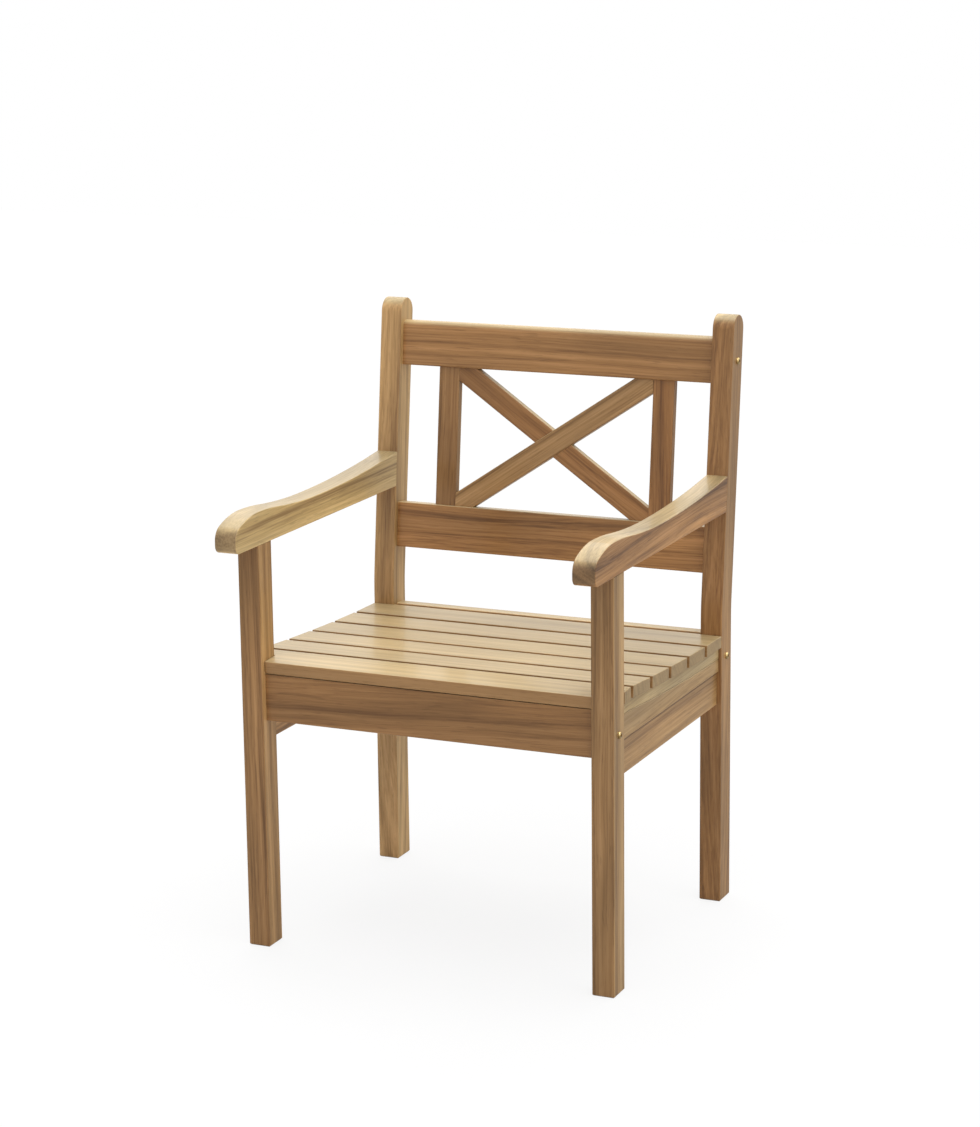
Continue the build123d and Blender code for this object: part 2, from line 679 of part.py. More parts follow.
def make_braces():
    """The front and the rear brace, halved into each other where they cross."""
    front, back = strip_span
    rear_front = front + BRACE_STEP
    lap = (rear_front + back) / 2
    front_brace = make_brace(brace_angle, (front, back), (lap, back))
    rear_brace = make_brace(-brace_angle, (rear_front, back), (rear_front, lap))
    return front_brace, rear_brace


# Fasteners


def make_bolt(y, z):
    """A frame bolt on the right: a domed head with a hex socket, and a shank to past the barrel nut."""
    end = inner_face - BOLT_REACH - NUT_DIAMETER / 2 - BOLT_END
    head = rod(BOLT_HEAD_DIAMETER / 2, (half_width, y, z), (half_width + BOLT_HEAD_HEIGHT, y, z))
    head = fillet(head.faces().sort_by(Axis.X)[-1].edges(), BOLT_HEAD_HEIGHT - BOLT_HEAD_RIM)
    top = Plane(origin=(half_width + BOLT_HEAD_HEIGHT, y, z), z_dir=(1, 0, 0))
    socket = RegularPolygon(SOCKET_WIDTH / 2, 6, major_radius=False)
    head -= extrude(top * socket, amount=-SOCKET_DEPTH)
    return head + rod(BOLT_DIAMETER / 2, (end, y, z), (half_width, y, z))


def make_nut(y, z, mouth):
    """A barrel nut on the right, with a driver slot in the end that faces the mouth of its hole."""
    x = inner_face - BOLT_REACH
    reach = math.copysign(NUT_LENGTH / 2, mouth - y)
    slot_floor = y + reach - math.copysign(NUT_SLOT_DEPTH, reach)
    nut = rod(NUT_DIAMETER / 2, (x, y - reach, z), (x, y + reach, z))
    thread = rod(BOLT_DIAMETER / 2 + NUT_FIT, (x - NUT_DIAMETER, y, z), (x + NUT_DIAMETER, y, z))
    slot_height = (z - NUT_SLOT_WIDTH / 2, z + NUT_SLOT_WIDTH / 2)
    slot = block((x - NUT_DIAMETER, x + NUT_DIAMETER), sorted((slot_floor, y + reach)), slot_height)
    return nut - thread - slot


def make_fasteners():
    """The groups of like fasteners, by node name."""
    seats = [
        (Location(), front_rail_middle, bolt_heights["front"], front_rail_span[1]),
        (Location(), rear_rail_middle, bolt_heights["rear"], rear_rail_front),
        (on_back, back_rail_middle, bolt_heights["top"], back_rail_span[1]),
    ]
    right = {
        "frame_bolts": [place * make_bolt(y, z) for place, y, z, _ in seats],
        "barrel_nuts": [place * make_nut(y, z, mouth) for place, y, z, mouth in seats],
        "slat_screws": slat_screws(bearer_middle),
        "bearer_screws": bearer_screws(side_rail_middle),
        "arm_dowels": arm_dowels(),
    }
    groups = {}
    for name, pieces in right.items():
        groups[name] = [half for piece in pieces for _, half in both_sides(piece)]
    groups["brace_dowels"] = [on_back * dowel for dowel in brace_dowels()]
    return groups


def make_chair():
    """Every piece in its place, by node name."""
    pairs = {
        "front_leg": make_front_leg(),
        "rear_leg": make_rear_leg(),
        "armrest": make_armrest(),
        "side_rail": make_side_rail(),
        "bearer_support": make_bearer_support(),
        "seat_bearer": make_seat_bearer(),
        "back_upright": on_back * make_upright(),
    }
    nodes = {f"{name}_{side}": [piece] for name, right in pairs.items() for side, piece in both_sides(right)}
    nodes["front_rail"] = [make_front_rail()]
    nodes["rear_rail"] = [make_rear_rail()]
    nodes["top_rail"] = [make_top_rail()]
    nodes["lower_back_rail"] = [make_lower_back_rail()]
    for number, slat in enumerate(make_slats(), start=1):
        nodes[f"seat_slat_{number}"] = [slat]
    front_brace, rear_brace = make_braces()
    nodes["back_brace_front"] = [front_brace]
    nodes["back_brace_rear"] = [rear_brace]
    nodes.update(make_fasteners())
    return nodes


def export_chair():
    """Write each node to its own file, with the origin on the floor under the middle of the chair."""
    os.makedirs("parts", exist_ok=True)
    nodes = make_chair()
    back_edge = nodes["rear_leg_right"][0].bounding_box().max.Y
    to_middle = Pos(0, (ARM_NOSE_REACH - back_edge) / 2, 0)
    for name, pieces in nodes.items():
        solids = [solid for piece in pieces for solid in (to_middle * piece).solids()]
        export_step(solids[0] if len(solids) == 1 else Compound(solids), f"parts/{name}.step")


export_chair()
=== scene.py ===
import math
from collections import namedtuple
from functools import partial

import bmesh
import bpy
from bpy.props import FloatProperty, FloatVectorProperty, PointerProperty
from mathutils import Euler, Matrix, Vector


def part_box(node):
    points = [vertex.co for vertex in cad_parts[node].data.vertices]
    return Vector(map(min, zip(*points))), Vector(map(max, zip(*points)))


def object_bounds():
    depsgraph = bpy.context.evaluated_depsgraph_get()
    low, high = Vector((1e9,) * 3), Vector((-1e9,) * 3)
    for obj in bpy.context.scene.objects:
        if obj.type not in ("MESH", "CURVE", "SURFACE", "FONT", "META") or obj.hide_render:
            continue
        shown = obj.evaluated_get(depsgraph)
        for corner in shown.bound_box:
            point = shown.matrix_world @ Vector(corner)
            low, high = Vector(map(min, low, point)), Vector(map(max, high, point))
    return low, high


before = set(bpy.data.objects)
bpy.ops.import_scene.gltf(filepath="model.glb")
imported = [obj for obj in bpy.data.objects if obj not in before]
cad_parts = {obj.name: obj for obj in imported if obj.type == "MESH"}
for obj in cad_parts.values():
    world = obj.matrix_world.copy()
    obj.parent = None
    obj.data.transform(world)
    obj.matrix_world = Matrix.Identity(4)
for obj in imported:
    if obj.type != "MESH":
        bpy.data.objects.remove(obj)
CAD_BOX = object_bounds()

bl_info = {
    "name": "Garden chair with a crossed back",
    "version": (1, 0, 0),
    "blender": (4, 5, 0),
    "location": "View3D > Sidebar > Garden chair",
    "description": "Dresses a teak garden chair in oiled wood, brass and steel, and sets it in a studio",
    "category": "Object",
}

MM = 0.001

# Sockets of a Mix node that mixes colours
FACTOR, FIRST, SECOND, MIXED = 0, 6, 7, 2

# Nearly all values of a noise texture lie in this range, about its middle
NOISE_LOW, NOISE_MIDDLE, NOISE_HIGH = 0.3, 0.5, 0.7
NOISE_RANGE = {"From Min": NOISE_LOW, "From Max": NOISE_HIGH}

# The width of a growth ring, fibre line or pore as a share of the coarsest cell of its noise texture
CELL_SHARE = 0.5

# The boards lie this far apart along the log, in metres, so that no two have the same figure
LOG_STEP = 0.37

# How often the rings wander in a metre along the grain and across it, which is every 500 mm and 91 mm, and
# how often a dark streak comes, which is every 400 mm and 9 mm
WANDER_PER_METRE = (2, 11, 11)
STREAKS_PER_METRE = (2.5, 110, 110)

# Width of the fibre lines and of the pores as a share of their length
FIBRE_SLIMNESS = 0.016
PORE_SLIMNESS = 0.06

# Noise values between which pores and streaks come in
PORE_RANGE = {"From Min": 0.6, "From Max": 0.72}
STREAK_RANGE = {"From Min": 0.57, "From Max": 0.74}

# The share of fibre lines in the figure, the rest being growth rings, and its values from dark to light wood
FIBRE_SHARE = 0.4
FIGURE_DARK, FIGURE_MIDDLE, FIGURE_LIGHT = 0.36, 0.5, 0.64
FIGURE_RANGE = {"From Min": FIGURE_DARK, "From Max": FIGURE_LIGHT}

# How squarely a face must look up, along the grain or sideways to begin to count as a face with painted
# sheen, a sawn end or a side face with painted light, and to count in full, as the cosine of an angle
PAINTED_SHEEN_RANGE = {"From Min": 0.35, "From Max": 0.95}
SAWN_RANGE = {"From Min": 0.45, "From Max": 0.9}
SIDE_LIGHT_RANGE = {"From Min": 0.5, "From Max": 0.9}

# How far the sawn ends take their own colour, how dark the pores are, and how dark and light the figure is on
# sawn ends and on faces with painted sheen
SAWN_SHARE = 0.7
PORE_DARKNESS = 0.25
LINE_DARKNESS, LINE_LIGHTNESS = 0.27, 0.14

# How much lighter or darker a patch of the board may be, and how many patches come where rings wander once
PATCH_CHANGE = 0.2
PATCHES_PER_WANDER = 1.6

# Painted light: left and right faces are made a little less red than the others, as the light on them is
# greyer
SIDE_LIGHT_TINT = (0.98, 1.05, 1.03)

# How dark the painted shadow in a seam is, and over how many mm it fades
SEAM_SHADOW_DARKNESS = 0.7
SEAM_SHADOW_FADE = 2

# What is added to the roughness of the wood in its grooves and on its sawn ends, and taken off on its ridges
GROOVE_ROUGHNESS, RIDGE_SMOOTHNESS = 0.06, 0.04
SAWN_ROUGHNESS = 0.2

# How strongly wood and oil bend light, and how rough the film of oil is
WOOD_IOR = 1.5
OIL_IOR = 1.5
OIL_ROUGHNESS = 0.15

# Roughness of the metals, what their dull patches add to it, and the size of those patches in mm
BRASS_ROUGHNESS = 0.22
STEEL_ROUGHNESS = 0.28
DULL_ROUGHNESS = 0.15
DULL_PATCH = 4

# The floor's half width in metres, its distance below the feet in mm, how often it grows duller in a metre,
# and how bright its duller parts are beside the others
FLOOR_HALF_WIDTH = 8.0
FLOOR_GAP = 0.2
FLOOR_PATCHES_PER_METRE = 3.0
DULL_FLOOR_SHARE = 0.97

# The direction of each soft light, seen from the chair
LIGHT_DIRECTIONS = {
    "top_light": (0.12, 0.05, 1.0),
    "rear_light": (-0.26, 0.59, 0.77),
    "side_light": (1.0, -0.15, 0.18),
    "front_light": (0.05, -0.75, 0.65),
}

# Height of the camera's frame in mm
FRAME_HEIGHT = 36.0


def linear(hex_colour):
    """An sRGB hex colour as linear red, green, blue and alpha."""
    channels = [int(hex_colour[i : i + 2], 16) / 255 for i in (1, 3, 5)]
    return tuple(c / 12.92 if c <= 0.04045 else ((c + 0.055) / 1.055) ** 2.4 for c in channels) + (1.0,)


def add_node(tree, kind, inputs=None, stops=None, **settings):
    """Add a node with its settings, and give each named input a value or a link."""
    node = tree.nodes.new(kind)
    for name, value in settings.items():
        setattr(node, name, value)
    for socket, value in (inputs or {}).items():
        if isinstance(value, bpy.types.NodeSocket):
            tree.links.new(value, node.inputs[socket])
        else:
            node.inputs[socket].default_value = value
    if stops:
        elements = node.color_ramp.elements
        while len(elements) < len(stops):
            elements.new(1.0)
        for element, (place, colour) in zip(elements, stops):
            element.position = place
            element.color = colour
    return node


def new_material(name):
    """A material with an empty node tree, and a function that adds nodes to it."""
    material = bpy.data.materials.new(name)
    material.use_nodes = True
    material.node_tree.nodes.clear()
    return material, partial(add_node, material.node_tree)


def dress(name, material):
    """Give the material to every slot of a piece."""
    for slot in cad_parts[name].material_slots:
        slot.material = material


# How each piece of wood was cut from the log, and how it looks. Along is the way of the grain. Pith is where
# the heart of the log lay from the middle of the piece, in mm across the grain, and tilt is how many degrees
# the log leaned from the piece: a near heart and some tilt give arched figure, a far heart gives straight
# lines. Ring is the usual width of a growth ring and waver how far the rings wander, both in mm. Contrast is
# the strength of the rings, streaks that of the dark streaks. Shade lightens or darkens the piece and warmth
# makes it redder. The next field lightens or darkens its left and right faces as painted light, the one after
# lightens or darkens its sawn ends, on the armrests as painted shade, and the next sets how light the painted
# sheen on its upper faces is. The last is how far a dark line of painted shadow, under the piece that
# overhangs it, reaches down from its top edge, in mm.
Board = namedtuple(
    "Board", "along pith tilt ring waver contrast streaks shade warmth sides ends tops seam",
    defaults=((90, 60), (0.6, 0.4), 8, 18, 1.1, 0.1, 1.0, 0.0, 1.0, 1.0, 1.0, 0),
)

UP = (0, 0, 1)
ACROSS = (1, 0, 0)
DEEP = (0, 1, 0)
BACK_LEAN = math.radians(6.3)
LEG_GRAIN = BACK_LEAN / 2
POST = (0, math.sin(LEG_GRAIN), math.cos(LEG_GRAIN))
BACK = (0, math.sin(BACK_LEAN), math.cos(BACK_LEAN))
BRACE_ANGLE = math.radians(33.9)


def on_diagonal(turn):
    """The direction in the leaning back at that angle to the rails."""
    return tuple(Vector(ACROSS) * math.cos(turn) + Vector(BACK) * math.sin(turn))


# The side factors of the legs paint light on their left and right faces
LEGS = {
    "front_leg_left": Board(UP, pith=(-80, 100), shade=0.79, warmth=-0.02, sides=1.3),
    "front_leg_right": Board(UP, pith=(-60, 130), tilt=(-0.4, 0.5), shade=0.83, warmth=-0.06, sides=1.18),
    "rear_leg_left": Board(
        POST, pith=(120, 40), tilt=(0.5, -0.8), contrast=0.9, shade=1.5, warmth=-0.13, sides=1.06,
    ),
    "rear_leg_right": Board(POST, pith=(-80, -100), streaks=0.35, shade=0.76, warmth=0.03, sides=1.02),
}
# The end factors of the armrests darken their noses with painted shade, as the noses face down and forward
ARMRESTS = {
    "armrest_left": Board(
        DEEP, pith=(40, 150), ring=14, waver=10, streaks=0.4, shade=1.81, warmth=-0.23, ends=0.7, tops=0.84,
    ),
    "armrest_right": Board(
        DEEP, pith=(60, -90), tilt=(1.5, 0.5), waver=30, contrast=1.3, streaks=0.35, shade=0.74, warmth=0.13,
        ends=0.48, tops=1.16,
    ),
}
SEAT_RAILS = {
    "front_rail": Board(
        ACROSS, pith=(-60, -75), tilt=(2.2, 0.5), ring=14, waver=30, contrast=0.9, shade=0.7, warmth=0.03,
    ),
    "rear_rail": Board(ACROSS, shade=0.9, tops=1.25),
    # The seam of the side rails is a painted shadow line under the overhanging bearer supports
    "side_rail_left": Board(DEEP, shade=1.2, seam=4),
    "side_rail_right": Board(DEEP, pith=(70, -80), contrast=0.9, shade=0.97, warmth=-0.03, seam=4),
}
BEARERS = {
    "bearer_support_left": Board(DEEP, shade=1.2, warmth=-0.03),
    "bearer_support_right": Board(DEEP, pith=(110, 30), streaks=0.5, shade=1.06, warmth=-0.1),
    "seat_bearer_left": Board(DEEP, shade=1.3, warmth=-0.08),
    "seat_bearer_right": Board(DEEP, pith=(130, -20), shade=1.3, warmth=-0.2),
}
# Lightness of the painted sheen on each slat's top; the rear two get less, where the back is mirrored in them
SLAT_SHEEN_LEVELS = (1.0, 1.0, 1.0, 1.0, 0.96, 0.91)
SLATS = {
    f"seat_slat_{number}": Board(
        ACROSS, pith=(120, 20 * number), ring=4, waver=10, contrast=0.5, shade=0.93, warmth=-0.06, tops=tops,
    )
    for number, tops in enumerate(SLAT_SHEEN_LEVELS, start=1)
}
BACK_RAILS = {
    "top_rail": Board(ACROSS, pith=(40, 110), tilt=(0.3, 0.6), ring=7, contrast=0.9, shade=0.83, warmth=0.02),
    "lower_back_rail": Board(
        ACROSS, pith=(20, 60), tilt=(1.2, 0.4), waver=34, streaks=0.5, shade=0.98, warmth=0.03,
    ),
}
BACK_STRIPS = {
    "back_upright_left": Board(BACK, streaks=0.3, shade=0.81),
    "back_upright_right": Board(BACK, pith=(-50, 70), streaks=0.4, shade=0.73, warmth=0.09),
    "back_brace_front": Board(on_diagonal(BRACE_ANGLE), streaks=0.35, shade=1.03, warmth=-0.09),
    "back_brace_rear": Board(
        on_diagonal(-BRACE_ANGLE), pith=(-70, 80), streaks=0.35, shade=0.65, warmth=0.09,
    ),
}
DOWELS = {
    "arm_dowels": Board(DEEP),
    "brace_dowels": Board(BACK),
}
BOARD_ORDER = [*LEGS, *ARMRESTS, *SEAT_RAILS, *BEARERS, *SLATS, *BACK_RAILS, *BACK_STRIPS, *DOWELS]


class ChairTeakSettings(bpy.types.PropertyGroup):
    """Colours of the wood and sizes of its figure."""

    light: FloatVectorProperty(
        name="Light wood", description="Colour of the pale growth rings",
        subtype="COLOR", size=4, min=0, max=1, default=linear("#BC8E5D"),
    )
    middle: FloatVectorProperty(
        name="Middle wood", description="Colour between the rings",
        subtype="COLOR", size=4, min=0, max=1, default=linear("#A67A4B"),
    )
    dark: FloatVectorProperty(
        name="Dark wood", description="Colour of the dark growth rings",
        subtype="COLOR", size=4, min=0, max=1, default=linear("#7E5834"),
    )
    streak: FloatVectorProperty(
        name="Streaks", description="Colour of the dark streaks and pores",
        subtype="COLOR", size=4, min=0, max=1, default=linear("#583A1F"),
    )
    end: FloatVectorProperty(
        name="End grain", description="Colour of the sawn ends",
        subtype="COLOR", size=4, min=0, max=1, default=linear("#9A805D"),
    )
    # Painted sheen: faces that look up take this paler colour, to the share set below, in place of the sheen
    # they reflect at a low angle
    pale: FloatVectorProperty(
        name="Pale faces", description="Colour of the faces that look up, where the oil dries first",
        subtype="COLOR", size=4, min=0, max=1, default=linear("#B6A075"),
    )
    painted_sheen_share: FloatProperty(
        name="Paleness", description="How far the faces that look up have gone pale",
        subtype="FACTOR", min=0, max=1, default=0.9,
    )
    fibre: FloatProperty(
        name="Fibre", description="Width of the fine lines along the grain",
        subtype="DISTANCE", unit="LENGTH", min=0.2 * MM, default=1.3 * MM,
    )
    pore: FloatProperty(
        name="Pore", description="Width of the open pores",
        subtype="DISTANCE", unit="LENGTH", min=0.2 * MM, default=0.9 * MM,
    )
    roughness: FloatProperty(
        name="Roughness", description="Roughness of the planed faces",
        subtype="FACTOR", min=0, max=1, default=0.42,
    )
    gloss: FloatProperty(
        name="Gloss", description="Strength of the reflections in the wood",
        subtype="FACTOR", min=0, max=1, default=0.25,
    )
    film: FloatProperty(
        name="Oil film", description="How much of the face has a thin clear film of oil",
        subtype="FACTOR", min=0, max=1, default=0.25,
    )


class ChairMetalSettings(bpy.types.PropertyGroup):
    """Colours of the bolts, nuts and screws, and the size of their turning marks."""

    brass: FloatVectorProperty(
        name="Brass", description="Colour of the bolts and barrel nuts",
        subtype="COLOR", size=4, min=0, max=1, default=linear("#D8BF8A"),
    )
    tarnish: FloatVectorProperty(
        name="Tarnish", description="Colour of the dull patches on the brass",
        subtype="COLOR", size=4, min=0, max=1, default=linear("#A88A55"),
    )
    steel: FloatVectorProperty(
        name="Steel", description="Colour of the screws",
        subtype="COLOR", size=4, min=0, max=1, default=linear("#B9B8B4"),
    )
    smudge: FloatVectorProperty(
        name="Smudge", description="Colour of the dull patches on the steel",
        subtype="COLOR", size=4, min=0, max=1, default=linear("#8E8D89"),
    )
    mark: FloatProperty(
        name="Mark", description="Width of the turning marks",
        subtype="DISTANCE", unit="LENGTH", min=0.05 * MM, default=0.4 * MM,
    )


class ChairStageSettings(bpy.types.PropertyGroup):
    """Camera, floor and light."""

    camera_place: FloatVectorProperty(
        name="Camera", description="Where the camera stands",
        subtype="TRANSLATION", unit="LENGTH", size=3, default=(1.7667, -3.9343, 1.5568),
    )
    azimuth: FloatProperty(
        name="Azimuth", description="How far round to the right the camera stands",
        subtype="ANGLE", default=math.radians(24.14),
    )
    pitch: FloatProperty(
        name="Pitch", description="How far the camera looks down",
        subtype="ANGLE", default=math.radians(13.095),
    )
    roll: FloatProperty(
        name="Roll", description="Turn of the camera about its line of sight",
        subtype="ANGLE", default=math.radians(-0.674),
    )
    lens: FloatProperty(
        name="Lens", description="Focal length in mm on a frame 36 mm high", min=10, default=96.25,
    )
    floor: FloatVectorProperty(
        name="Floor", description="Colour of the floor",
        subtype="COLOR", size=4, min=0, max=1, default=linear("#DEDEDE"),
    )
    shadow: FloatProperty(
        name="Shadow", description="How much of the shadow shows on the floor",
        subtype="FACTOR", min=0, max=1, default=0.14,
    )
    mirrored: FloatProperty(
        name="Mirrored floor", description="How bright the floor is in reflections",
        subtype="FACTOR", min=0, max=1, default=0.4,
    )
    sky: FloatProperty(
        name="Sky", description="Strength of the even light from all round", min=0, default=0.24,
    )
    top_light: FloatProperty(
        name="Top light", description="Strength of the soft light from above", min=0, default=2.8,
    )
    rear_light: FloatProperty(
        name="Rear light", description="Strength of the soft light from behind", min=0, default=1.1,
    )
    side_light: FloatProperty(
        name="Side light", description="Strength of the soft light from the right", min=0, default=0.72,
    )
    front_light: FloatProperty(
        name="Front light", description="Strength of the soft light from the front", min=0, default=0.55,
    )
    spread: FloatProperty(
        name="Spread", description="How wide each soft light is, as seen from the chair",
        subtype="ANGLE", default=math.radians(60),
    )


Grain = namedtuple("Grain", "figure fibre pores streaks patches")
Faces = namedtuple("Faces", "pale sawn sides")


def place_in_log(add, point, middle, name, board):
    """Where a point of the board lay in the log: X along the grain, with the log's heart at Y = Z = 0."""
    along = Vector(board.along).normalized()
    leaning = Euler((0, math.radians(board.tilt[0]), math.radians(board.tilt[1])))
    turn = leaning.to_matrix() @ along.rotation_difference(Vector(ACROSS)).to_matrix()
    stretch_of_log = LOG_STEP * BOARD_ORDER.index(name)
    middle_in_log = Vector((stretch_of_log, board.pith[0] * MM, board.pith[1] * MM))
    place = middle_in_log - turn @ middle
    mapping = {"Vector": point, "Location": place, "Rotation": turn.to_euler()}
    return add("ShaderNodeMapping", mapping).outputs["Vector"]


def grain_of_board(add, log, board):
    """The figure, fibre lines, pores, dark streaks and patches at a point of the log.

    Pores are drawn about three times as wide as real ones, because those are too fine to show.
    """
    teak = bpy.context.scene.chair_teak

    # The rings wander
    slow = add("ShaderNodeVectorMath", {0: log, 1: WANDER_PER_METRE}, operation="MULTIPLY").outputs[0]
    wander = add("ShaderNodeTexNoise", {"Vector": slow, "Scale": 1.0, "Detail": 2.0}).outputs["Color"]
    from_middle = {0: wander, 1: (NOISE_MIDDLE, NOISE_MIDDLE, NOISE_MIDDLE)}
    either_way = add("ShaderNodeVectorMath", from_middle, operation="SUBTRACT").outputs[0]
    waver = board.waver * MM
    drift = add("ShaderNodeVectorMath", {0: either_way, "Scale": waver}, operation="SCALE").outputs[0]
    wood = add("ShaderNodeVectorMath", {0: log, 1: drift}, operation="ADD").outputs[0]

    # Growth rings: bands of uneven width round the heart
    section = add("ShaderNodeVectorMath", {0: wood, 1: (0, 1, 1)}, operation="MULTIPLY").outputs[0]
    radius = add("ShaderNodeVectorMath", {0: section}, operation="LENGTH").outputs["Value"]
    ring_noise = {"W": radius, "Scale": CELL_SHARE / (board.ring * MM), "Detail": 3.0, "Roughness": 0.55}
    rings = add("ShaderNodeTexNoise", ring_noise, noise_dimensions="1D").outputs[0]

    # Fibre lines, pores and streaks are all long along the grain
    fibre_scale = (FIBRE_SLIMNESS / teak.fibre, 1 / teak.fibre, 1 / teak.fibre)
    fibre_place = add("ShaderNodeVectorMath", {0: wood, 1: fibre_scale}, operation="MULTIPLY").outputs[0]
    fibre_noise = {"Vector": fibre_place, "Scale": CELL_SHARE, "Detail": 3.0, "Roughness": 0.6}
    fibre = add("ShaderNodeTexNoise", fibre_noise).outputs[0]
    pore_scale = (PORE_SLIMNESS / teak.pore, 1 / teak.pore, 1 / teak.pore)
    pore_place = add("ShaderNodeVectorMath", {0: wood, 1: pore_scale}, operation="MULTIPLY").outputs[0]
    pore_noise = {"Vector": pore_place, "Scale": CELL_SHARE, "Detail": 1.0}
    pore_value = add("ShaderNodeTexNoise", pore_noise).outputs[0]
    pore_range = {"Value": pore_value} | PORE_RANGE
    pores = add("ShaderNodeMapRange", pore_range, interpolation_type="SMOOTHSTEP").outputs[0]
    in_streaks = {0: wood, 1: STREAKS_PER_METRE}
    streak_place = add("ShaderNodeVectorMath", in_streaks, operation="MULTIPLY").outputs[0]
    streak_noise = {"Vector": streak_place, "Scale": 1.0, "Detail": 4.0, "Roughness": 0.6}
    streak_value = add("ShaderNodeTexNoise", streak_noise).outputs[0]
    streak_range = {"Value": streak_value, "To Max": board.streaks} | STREAK_RANGE
    streaks = add("ShaderNodeMapRange", streak_range, interpolation_type="SMOOTHSTEP").outputs[0]

    fine = add("ShaderNodeMath", {0: fibre, 1: FIBRE_SHARE}, operation="MULTIPLY").outputs[0]
    both = {0: rings, 1: 1 - FIBRE_SHARE, 2: fine}
    figure = add("ShaderNodeMath", both, operation="MULTIPLY_ADD").outputs[0]
    patch_noise = {"Vector": slow, "Scale": PATCHES_PER_WANDER, "Detail": 1.0}
    patches = add("ShaderNodeTexNoise", patch_noise).outputs[0]
    return Grain(figure, fibre, pores, streaks, patches)


def faces_of_board(add, board):
    """How far a point lies on a face that looks up (painted sheen), a sawn end or a side face (painted
    light).
    """
    teak = bpy.context.scene.chair_teak
    facing = add("ShaderNodeNewGeometry").outputs["Normal"]
    upward = add("ShaderNodeVectorMath", {0: facing, 1: UP}, operation="DOT_PRODUCT").outputs["Value"]
    painted_sheen_range = {"Value": upward, "To Max": teak.painted_sheen_share} | PAINTED_SHEEN_RANGE
    pale = add("ShaderNodeMapRange", painted_sheen_range, interpolation_type="SMOOTHSTEP").outputs[0]
    along = Vector(board.along).normalized()
    lengthwise = add("ShaderNodeVectorMath", {0: facing, 1: along}, operation="DOT_PRODUCT").outputs["Value"]
    either_end = add("ShaderNodeMath", {0: lengthwise}, operation="ABSOLUTE").outputs[0]
    sawn_range = {"Value": either_end, "To Max": SAWN_SHARE} | SAWN_RANGE
    sawn = add("ShaderNodeMapRange", sawn_range, interpolation_type="SMOOTHSTEP").outputs[0]
    sideways = add("ShaderNodeSeparateXYZ", {"Vector": facing}).outputs["X"]
    either_side = add("ShaderNodeMath", {0: sideways}, operation="ABSOLUTE").outputs[0]
    sides = add("ShaderNodeMapRange", {"Value": either_side} | SIDE_LIGHT_RANGE).outputs[0]
    return Faces(pale, sawn, sides)


def colour_of_board(add, point, top, grain, faces, board):
    """The colour of the wood at a point, with its painted light and shade; top is the board's top edge."""
    teak = bpy.context.scene.chair_teak
    warm = (1 + board.warmth, 1.0, 1 - board.warmth, 1.0)
    light, middle, dark, streak = (
        Vector(board.shade * tint * channel for tint, channel in zip(warm, colour))
        for colour in (teak.light, teak.middle, teak.dark, teak.streak)
    )
    light = middle.lerp(light, board.contrast)
    dark = middle.lerp(dark, board.contrast)

    # Bands, streaks and pores
    tones = [(FIGURE_DARK, dark), (FIGURE_MIDDLE, middle), (FIGURE_LIGHT, light)]
    bands = add("ShaderNodeValToRGB", {"Fac": grain.figure}, stops=tones).outputs["Color"]
    streaked = {FACTOR: grain.streaks, FIRST: bands, SECOND: streak}
    face = add("ShaderNodeMix", streaked, data_type="RGBA").outputs[MIXED]
    specks = add("ShaderNodeMath", {0: grain.pores, 1: PORE_DARKNESS}, operation="MULTIPLY").outputs[0]
    porous = {FACTOR: specks, FIRST: face, SECOND: streak}
    colour = add("ShaderNodeMix", porous, data_type="RGBA").outputs[MIXED]

    # Sawn ends have their own colour and faces that look up a painted sheen colour, with the same lines
    line_range = {"Value": grain.figure} | FIGURE_RANGE
    line_range["To Min"] = 1 - LINE_DARKNESS * board.contrast
    line_range["To Max"] = 1 + LINE_LIGHTNESS * board.contrast
    lines = add("ShaderNodeMapRange", line_range).outputs[0]
    for share, plain, lightness in (
        (faces.sawn, teak.end, board.ends),
        (faces.pale, teak.pale, board.tops),
    ):
        shaded = Vector(lightness * channel for channel in plain[:3])
        lined = add("ShaderNodeVectorMath", {0: shaded, "Scale": lines}, operation="SCALE").outputs[0]
        covered = {FACTOR: share, FIRST: colour, SECOND: lined}
        colour = add("ShaderNodeMix", covered, data_type="RGBA").outputs[MIXED]

    # Lighter and darker patches, and painted light on the left and right faces
    change = PATCH_CHANGE * board.contrast
    patch_range = {"Value": grain.patches, "To Min": 1 - change, "To Max": 1 + change} | NOISE_RANGE
    level = add("ShaderNodeMapRange", patch_range).outputs[0]
    colour = add("ShaderNodeVectorMath", {0: colour, "Scale": level}, operation="SCALE").outputs[0]
    side_light_tint = board.sides * Vector(SIDE_LIGHT_TINT)
    side_lit = add("ShaderNodeVectorMath", {0: colour, 1: side_light_tint}, operation="MULTIPLY").outputs[0]
    side_lit_mix = {FACTOR: faces.sides, FIRST: colour, SECOND: side_lit}
    colour = add("ShaderNodeMix", side_lit_mix, data_type="RGBA").outputs[MIXED]

    # Painted shadow: a dark line under the top edge, where the piece above overhangs it
    if board.seam:
        height = add("ShaderNodeSeparateXYZ", {"Vector": point}).outputs["Z"]
        low_end = top - board.seam * MM
        seam_shadow_range = {"Value": height, "From Min": low_end, "From Max": low_end + SEAM_SHADOW_FADE * MM}
        painted_shadow = add("ShaderNodeMapRange", seam_shadow_range | {"To Max": SEAM_SHADOW_DARKNESS}).outputs[0]
        shadowed = {FACTOR: painted_shadow, FIRST: colour, SECOND: streak}
        colour = add("ShaderNodeMix", shadowed, data_type="RGBA").outputs[MIXED]
    return colour


